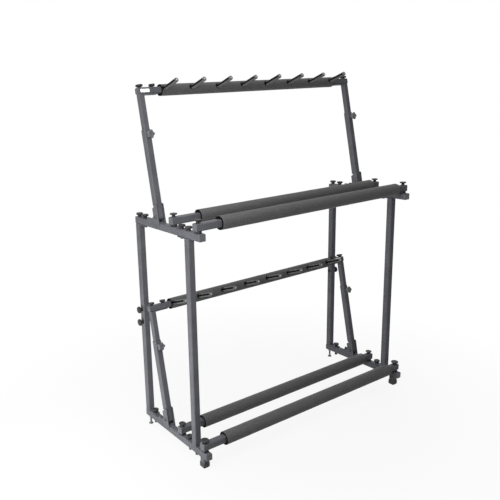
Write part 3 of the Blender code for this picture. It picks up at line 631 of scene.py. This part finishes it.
def hand_knob(height, rim, cone, shape=FINE_FLUTES, spread=1.0):
    """A hand knob that stands on z = 0: its profile turned about z, with every radius times spread.

    From its foot up it has a flare, a stem, a cone of the height given, and a rim that ends at the top.
    """
    under = height - rim
    rows = [(0.0002, 0.0002, 0), (0.0074, 0.0002, 0.0002), (0.0071, 0.0008, 0.0003),
            (0.0056, min(0.0026, 0.6 * (under - cone)), 0.0004), (0.0056, under - cone, 0.0004),
            (0.0080, under - 0.45 * cone, 0.0008), (0.0120, under, 0.0004),
            (0.0128, under + 0.0005, 0.0004), (0.0128, height - 0.0008, 0.0006), (0.0120, height, 0.0005),
            (0.0085, height - 0.0003, 0.0010), (0.0060, height - 0.0009, 0.0010),
            (0.0002, height - 0.0009, 0)]
    return turned(softened([(spread * radius, z, soft) for radius, z, soft in rows]), 108, shape)


RAIL_KNOB_HEIGHT = 0.0125
small_knob = hand_knob(RAIL_KNOB_HEIGHT, 0.0040, 0.0036)
large_knob = hand_knob(RAIL_KNOB_HEIGHT, 0.0046, 0.0050, fluted(18, 0.03, 0.0130), 1.17)
for level, row in RAILS:
    knob = large_knob if (level, row) == ("lower", "front") else small_knob
    for side in SIDES:
        node = f"{level}_{row}_rail_knob_{side}"
        spot = middle_of(node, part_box(node)[1].z - RAIL_KNOB_HEIGHT)
        piece = new_piece(f"{level}_{row}_hand_knob_{side}", [(stood(knob, spot), False)],
                          plastic_finish, "frame")
        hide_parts(node)


# Rail spacers: fluted black discs between the side bars and the rails, one round each rail screw.
# They are fitted round the slimmer spacers of the rails' solids.

SPACER_ROWS = [(0.0098, 0.0003, 0), (0.0118, 0.0003, 0.0004), (0.0126, 0.0011, 0.0006),
               (0.0126, 0.0058, 0.0006), (0.0118, 0.0066, 0.0004), (0.0098, 0.0066, 0)]
spacer = turned(softened(SPACER_ROWS), 96, fluted(12, 0.09, 0.0100))
for level, row in RAILS:
    for side in SIDES:
        spot = middle_of(f"{level}_{row}_rail_knob_{side}", BAR_FLOOR[level] + TUBE_SIDE)
        new_piece(f"{level}_{row}_rail_spacer_{side}", [(stood(spacer, spot), True)], plastic_finish,
                  "frame")


# Thumb nuts on the side bars and knobs on the rear uprights' bolts: round moulded caps, each with a
# flared head. They are fitted over the plainer ones of the solids, which stay inside them.

THUMB_NUT_ROWS = [(0.0002, 0.0001, 0), (0.0074, 0.0001, 0.0004), (0.0068, 0.0044, 0.0010),
                  (0.0119, 0.0078, 0.0010), (0.0127, 0.0090, 0.0006), (0.0127, 0.0126, 0.0008),
                  (0.0116, 0.0140, 0.0008), (0.0078, 0.0142, 0.0006), (0.0068, 0.0137, 0.0006),
                  (0.0002, 0.0137, 0)]
BOLT_KNOB_ROWS = [(0.0002, 0.0001, 0), (0.0078, 0.0001, 0.0003), (0.0074, 0.0014, 0.0006),
                  (0.0068, 0.0030, 0.0010), (0.0068, 0.0084, 0.0008), (0.0126, 0.0096, 0.0006),
                  (0.0132, 0.0106, 0.0006), (0.0132, 0.0152, 0.0010), (0.0118, 0.0168, 0.0010),
                  (0.0080, 0.0169, 0.0006), (0.0002, 0.0169, 0)]
REAR_UPRIGHT_Y = 0.1903
NUT_PLACES = {"upper": (-0.1273, -0.0873, 0.1503, REAR_UPRIGHT_Y), "lower": (-0.0873, 0.1503)}
NUT_LIFT = 0.0036
BOLT_HEIGHTS = (0.4384, 0.4894)
thumb_nut = turned(softened(THUMB_NUT_ROWS), 96, fluted(12, 0.05, 0.0100))
bolt_knob = turned(softened(BOLT_KNOB_ROWS), 96, fluted(14, 0.035, 0.0110))
for side, sign in SIDES.items():
    foot = {"upper": BAR_FLOOR["upper"] + TUBE_SIDE,
            "lower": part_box(f"rear_upright_{side}")[0].z + NUT_LIFT}
    for level, places in NUT_PLACES.items():
        for y in places:
            grid = stood(thumb_nut, (sign * SIDE_X, y, foot[level]))
            new_piece(f"{level}_thumb_nut_{side}_{round(1000 * abs(y))}", [(grid, False)], plastic_finish,
                      "frame")
    for number, z in enumerate(BOLT_HEIGHTS):
        spot = (sign * (SIDE_X + TUBE_SIDE / 2), REAR_UPRIGHT_Y, z)
        grid = stood(bolt_knob, spot, (sign, 0, 0), (0, 1, 0))
        new_piece(f"bolt_knob_{side}_{number + 1}", [(grid, False)], plastic_finish,
                  "frame")


# Neck frames' feet: pressed steel brackets on the side bars, each with a pivot bolt through the foot
# of a leg. Legs are square tubes that telescope. All of it powder-coated, the bolts black oxide.

def black_oxide():
    """Black oxide on steel bolts: near black, with a soft metal gloss."""
    finish = new_finish("black_oxide")
    vector = finish.place()
    cloud = finish.noise(vector, 300, 3)
    rounded = finish.soft_edge(0.0006)
    colour = finish.blend(cloud.between(0.3, 0.8), (0.040, 0.040, 0.043, 1), (0.085, 0.085, 0.090, 1))
    return finish.done(finish.surface({"Base Color": colour, "Roughness": 0.38 + 0.15 * cloud,
                                       "Metallic": 0.6, "Normal": rounded}))


oxide_finish = black_oxide()
for level in LEVELS:
    coat_node(f"{level}_neck_bar", steel)
    for side in SIDES:
        coat_node(f"{level}_bracket_{side}", steel)
        coat_node(f"{level}_outer_leg_{side}", steel)
        coat_node(f"{level}_inner_leg_{side}", steel)
        coat_node(f"{level}_pivot_pin_{side}", oxide_finish)


# Clamp knobs: five-lobed hand knobs that tighten the telescoping legs, moulded in dark grey plastic.
# Each turns on its own screw in front of the outer leg.

joints = {joint["name"]: joint for joint in frame["joints"]}
LOBE_COUNT = 5
LOBE_REACH = 0.14
BOSS_RADIUS = 0.006


def star(angle, radius, height):
    """Lobes: the radius times 1 + 0.14 cos(5 angle), fading in over 4 mm from the boss outwards."""
    return 1 + LOBE_REACH * np.clip((radius - BOSS_RADIUS) / 0.004, 0, 1) * np.cos(LOBE_COUNT * angle)


STAR_ROWS = [(0.0002, -0.0085, 0), (0.0054, -0.0085, 0.0004), (0.0050, -0.0014, 0.0008),
             (0.0124, -0.0008, 0.0008), (0.0138, 0.0008, 0.0012), (0.0138, 0.0062, 0.0016),
             (0.0118, 0.0088, 0.0016), (0.0064, 0.0092, 0.0008), (0.0056, 0.0082, 0.0008),
             (0.0002, 0.0082, 0)]
star_knob = turned(softened(STAR_ROWS), 120, star)
for level in LEVELS:
    for side in SIDES:
        joint = joints[f"{level}_clamp_turn_{side}"]
        grid = stood(star_knob, joint["pos_m"], joint["axis"])
        piece = new_piece(f"{level}_star_knob_{side}", [(grid, False)], plug_finish,
                          f"{level}_clamp_{side}")
        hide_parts(f"{level}_clamp_knob_{side}")


# Neck bars: the leaning cross bars, with their foam sleeves and the foam-covered pegs that make the slots.
# The bar's sleeve has a hole for each peg, and each peg's own sleeve is slit along its left side.
# The holes and the slits are painted near black as painted shade.

LEAN = math.radians(11.55)
RISE = math.radians(8.5)
NECK_REACH = {"lower": 0.4307, "upper": 0.4410}
NECK_SIDE = 0.022
NECK_PLUG_SIDE = 0.020
NECK_BARE_END = 0.0932
NECK_SLEEVE_HALF = WIDTH / 2 - NECK_BARE_END
NECK_SLEEVE_RADIUS = 0.0207
NECK_SEED = 31
PEG_COUNT = 8
PEG_END_MARGIN = 0.0164
PEG_PITCH = 2 * (NECK_SLEEVE_HALF - PEG_END_MARGIN) / (PEG_COUNT - 1)
PEG_RADIUS = 0.0080
PEG_TIP = 0.0942
PEG_AROUND = 60
PEG_CREASE = 45
SLIT_ANGLE = math.radians(165)
SLIT_HALF_ANGLE = 0.58
BUTTON_PLACE = 0.0952
along_leg = np.array([0, math.sin(LEAN), math.cos(LEAN)])
forward = np.array([0, -math.cos(LEAN), math.sin(LEAN)])
along_peg = np.array([0, -math.cos(LEAN + RISE), math.sin(LEAN + RISE)])


def on_neck(level, lift=0.0):
    """The middle of a level's neck bar, moved by lift along its legs."""
    return np.array(joints[f"{level}_fold"]["pos_m"]) + (NECK_REACH[level] + lift) * along_leg


def slit(angle, radius, height):
    """1 in a band round the slit's angle, falling to 0 at its two sides and at the peg's tip."""
    away = np.abs((angle - SLIT_ANGLE + math.pi) % (2 * math.pi) - math.pi)
    below_tip = np.clip((PEG_TIP - 0.004 - height) / 0.002, 0, 1)
    return np.clip((SLIT_HALF_ANGLE - away) / 0.10, 0, 1) * below_tip


def peg_sleeve():
    """A peg's sleeve along z, from inside the bar's sleeve to its tip, and the depth of its points.

    It is a turned tube with a flared root and a squared-off open end. In the slit its radius is a third
    less, and its depth there is 1, so the foam paints the slit near black as painted shade.
    """
    rows = softened([(0.0050, 0.0130, 0), (0.0094, 0.0150, 0.0006), (0.0084, 0.0240, 0.0020),
                     (PEG_RADIUS, 0.0300, 0.004), (PEG_RADIUS, PEG_TIP - 0.001, 0.0009),
                     (0.0070, PEG_TIP, 0.0006), (0.0049, PEG_TIP, 0.0005),
                     (0.0046, PEG_TIP - 0.003, 0.0004), (0.0003, PEG_TIP - 0.0032, 0)])
    height = np.linspace(0.034, PEG_TIP - 0.0035, 22)
    straight = np.stack([np.full(len(height), PEG_RADIUS), height], -1)
    rows = np.concatenate([rows[rows[:, 1] < 0.033], straight, rows[rows[:, 1] > PEG_TIP - 0.0034]])
    grid = turned(rows, PEG_AROUND, lambda *place: 1 - slit(*place) / 3)
    # The slit's depth is painted shade: the peg foam paints the slit near black.
    depth = slit(np.linspace(0, 2 * math.pi, PEG_AROUND, endpoint=False)[None], rows[:, :1], rows[:, 1:])
    return grid, depth


def pale_plastic():
    """Mid grey moulded plastic with a soft mottle, rubbed paler where it is handled."""
    finish = new_finish("button_plastic")
    vector = finish.place()
    cloud = finish.noise(vector, 380, 3)
    colour = finish.blend(cloud.between(0.3, 0.75), (0.20, 0.20, 0.21, 1), (0.33, 0.33, 0.34, 1))
    return finish.done(finish.surface({"Base Color": colour, "Roughness": 0.45 + 0.12 * cloud,
                                       "Normal": finish.bump(cloud, 0.0001, 0.3)}))


peg_foam = foam("peg_foam", (0.060, 0.060, 0.062, 1), (0.105, 0.105, 0.108, 1))
button_finish = pale_plastic()
BUTTON_ROWS = [(0.0002, -0.0008, 0), (0.0044, -0.0008, 0.0003), (0.0045, 0.0006, 0.0006),
               (0.0030, 0.0012, 0.0012), (0.0002, 0.0013, 0)]
button = turned(softened(BUTTON_ROWS), 32)
peg, peg_shade = peg_sleeve()
peg_places = (np.arange(PEG_COUNT) - (PEG_COUNT - 1) / 2) * PEG_PITCH
for number, level in enumerate(LEVELS):
    body = f"{level}_neck"
    middle = on_neck(level)
    grid, depth = sleeve(2 * NECK_SLEEVE_HALF, NECK_SLEEVE_RADIUS, NECK_SIDE / 2, NECK_SEED + number,
                         peg_places, RISE)
    grid = grid[..., :1] * [1, 0, 0] + grid[..., 1:2] * forward + grid[..., 2:] * along_leg + middle
    piece = new_piece(f"{level}_neck_sleeve", [(grid, True)], foam_finish, body,
                      FOAM_CREASE, [depth])
    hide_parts(f"{level}_neck_foam")
    spots = [middle + [x, 0, 0] for x in peg_places]
    grids = [(stood(peg, spot, along_peg), False) for spot in spots]
    piece = new_piece(f"{level}_peg_sleeves", grids, peg_foam, body, PEG_CREASE,
                      [peg_shade] * PEG_COUNT)
    grids = [(stood(button, spot + BUTTON_PLACE * along_peg, along_peg), False) for spot in spots]
    new_piece(f"{level}_peg_buttons", grids, button_finish, body)
    for side, sign in SIDES.items():
        end_plug(f"{level}_neck_plug_{side}", middle + [sign * WIDTH / 2, 0, 0], (sign, 0, 0), forward,
                 NECK_PLUG_SIDE, body)


# Neck knobs: four hand knobs on each neck bar, whose screws go down through the bar and the legs' flanges.
# The inner ones have four deep grooves for the fingers.

NECK_KNOB_HEIGHT = 0.0105
NECK_KNOB_RIM = 0.0068
NECK_KNOB_CONE = 0.0012
NECK_SCREW_SPACING = 0.051
FINGER_GROOVES = fluted(4, 0.30, 0.0070, math.radians(-121))
outer_knob, inner_knob = (hand_knob(NECK_KNOB_HEIGHT, NECK_KNOB_RIM, NECK_KNOB_CONE, shape)
                          for shape in (FINE_FLUTES, FINGER_GROOVES))
for level in LEVELS:
    top = on_neck(level, NECK_SIDE / 2 + SEAT_GAP)
    for side, sign in SIDES.items():
        for place, inset, knob in (("outer", 0, outer_knob), ("inner", NECK_SCREW_SPACING, inner_knob)):
            grid = stood(knob, top + [sign * (SIDE_X - inset), 0, 0], along_leg)
            piece = new_piece(f"{level}_neck_hand_knob_{side}_{place}", [(grid, False)],
                              plastic_finish, f"{level}_neck")
            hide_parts(f"{level}_neck_knob_{side}_{place}")


# Blank labels: white vinyl stickers with round corners on the fronts of the neck bars, near the left end
# of the upper bar and the right end of the lower one. They bear no print.

def vinyl():
    """White vinyl, a little yellowed and scuffed."""
    finish = new_finish("white_vinyl")
    vector = finish.place()
    scuff = finish.noise(finish.stretched(vector, (1, 6, 6)), 300, 4)
    colour = finish.blend(scuff.between(0.4, 0.8), (0.86, 0.86, 0.85, 1), (0.74, 0.74, 0.72, 1))
    return finish.done(finish.surface({"Base Color": colour, "Roughness": 0.38 + 0.2 * scuff}))


vinyl_finish = vinyl()
LABEL_WIDTH, LABEL_HEIGHT, LABEL_CORNER = 0.0365, 0.0115, 0.0015
LABEL_ROWS = [(0.97, 0.0), (1.0, 0.00008), (0.99, 0.00018), (0.9, 0.0002), (0.02, 0.0002)]
LABEL_PLACES = {"upper": (-0.4977, -0.001), "lower": (0.4880, 0.0035)}
label = stacked(rounded_outline(LABEL_WIDTH, LABEL_HEIGHT, LABEL_CORNER), LABEL_ROWS)
for level, (x, lift) in LABEL_PLACES.items():
    spot = on_neck(level, lift) + (NECK_SIDE / 2) * forward + [x, 0, 0]
    new_piece(f"{level}_blank_label", [(stood(label, spot, forward), False)], vinyl_finish, f"{level}_neck")


# Floor and backdrop: a white sheet under the rack in a white room, neither of which is part of it.
# The camera and mirror-like surfaces see them white, and the floor keeps the rack's shadow nearby.

def looked_at(finish):
    """1 for the camera's rays and for those that are mirrored or let through."""
    node = finish.add("ShaderNodeLightPath").socket.node
    camera, mirrored, through = (Value(finish, node.outputs[name])
                                 for name in ("Is Camera Ray", "Is Glossy Ray", "Is Transmission Ray"))
    return camera.maths("MAXIMUM", mirrored).maths("MAXIMUM", through)


WHITE = (1, 1, 1, 1)
PAPER_COLOUR = (0.40, 0.40, 0.40, 1)
SHADOW_SHARE = 0.10
FLOOR_REACH = 30
FILL_LIGHT = 0.04


def floor_paper():
    """White where it is looked at, with a tenth of its own shaded colour near the rack."""
    finish = new_finish("floor_paper")
    vector = finish.place()
    out = finish.add("ShaderNodeVectorMath", {"operation": "LENGTH"}, {0: vector}, "Value")
    near = 1 - out.between(0.5, 1.3)
    paper = finish.add("ShaderNodeBsdfDiffuse", None, {"Color": PAPER_COLOUR})
    white = finish.add("ShaderNodeEmission", None, {"Color": WHITE, "Strength": 1.0})
    shown = looked_at(finish) * (1 - SHADOW_SHARE * near)
    return finish.done(finish.add("ShaderNodeMixShader", None, {0: shown, 1: paper, 2: white}))


floor_mesh = bpy.data.meshes.new("floor")
corners = [(FLOOR_REACH * x, FLOOR_REACH * y, 0) for x, y in ((-1, -1), (1, -1), (1, 1), (-1, 1))]
floor_mesh.from_pydata(corners, [], [(0, 1, 2, 3)])
floor_mesh.materials.append(floor_paper())
floor = bpy.data.objects.new("floor", floor_mesh)
bpy.context.scene.collection.objects.link(floor)

studio = Finish(bpy.data.worlds.new("studio"))
fill = studio.add("ShaderNodeBackground", None, {"Color": WHITE, "Strength": FILL_LIGHT})
backdrop = studio.add("ShaderNodeBackground", None, {"Color": WHITE, "Strength": 1.0})
both = studio.add("ShaderNodeMixShader", None, {0: looked_at(studio), 1: fill, 2: backdrop})
bpy.context.scene.world = studio.done(both)


# Lamps: a soft box close to the left front of the rack, whose light falls off towards the right and
# the rear, a small one low on the left, and a large one overhead. Two behind brighten the sides that
# face away from the camera, and make no highlights.

def soft_box(name, place, target, width, height, watts, mirrored=True):
    """A rectangular lamp that faces a target. Its mirror image can be left out of the highlights."""
    lamp = bpy.data.lights.new(name, "AREA")
    lamp.shape = "RECTANGLE"
    lamp.size, lamp.size_y, lamp.energy = width, height, watts
    rig = bpy.data.objects.new(name, lamp)
    rig.location = place
    rig.rotation_euler = (Vector(target) - Vector(place)).to_track_quat("-Z", "Y").to_euler()
    rig.visible_camera = False
    rig.visible_glossy = mirrored
    bpy.context.scene.collection.objects.link(rig)


soft_box("key_box", (-1.32, -0.76, 1.25), (-0.3, 0, 0.75), 0.9, 1.0, 28)
soft_box("low_box", (-1.20, 0.05, 0.20), (-0.5, 0.05, 0.15), 0.7, 0.3, 9)
soft_box("top_box", (-0.5, -0.3, 3.4), (0, 0, 0.5), 2.0, 2.0, 60)
soft_box("rear_right_box", (2.4, 1.2, 0.9), (0, 0, 0.6), 1.6, 1.3, 62, mirrored=False)
soft_box("rear_left_box", (-1.2, 2.5, 0.9), (0, 0, 0.6), 1.4, 1.3, 36, mirrored=False)


# Camera: stands at the left front of the rack, above its top, and looks down a little.
# Its place, turn and shift were fitted to the rack's edges in the photograph.

PICTURE = 500
MIDDLE_X, MIDDLE_Y, FOCAL = 165.0, 238.4705, 614.5156
CAMERA_PLACE = (-1.62420, -1.75002, 1.30464)
SENSOR = 36
yaw, pitch, roll = (math.radians(turn) for turn in (-32.10901, -13.63810, -2.65341))
looking = Vector((-math.sin(yaw) * math.cos(pitch), math.cos(yaw) * math.cos(pitch), math.sin(pitch)))
level_right = Vector((math.cos(yaw), math.sin(yaw), 0))
level_up = level_right.cross(looking)
right = math.cos(roll) * level_right + math.sin(roll) * level_up
up = -math.sin(roll) * level_right + math.cos(roll) * level_up
lens = bpy.data.cameras.new("camera")
camera = bpy.data.objects.new("camera", lens)
bpy.context.scene.collection.objects.link(camera)
turning = Matrix((right, up, -looking)).transposed().to_4x4()
camera.matrix_world = Matrix.Translation(CAMERA_PLACE) @ turning
lens.sensor_width = SENSOR
lens.lens = SENSOR * FOCAL / PICTURE
lens.shift_x = (PICTURE / 2 - MIDDLE_X) / PICTURE
lens.shift_y = (MIDDLE_Y - PICTURE / 2) / PICTURE
bpy.context.scene.camera = camera
bpy.context.scene.view_settings.view_transform = "Standard"
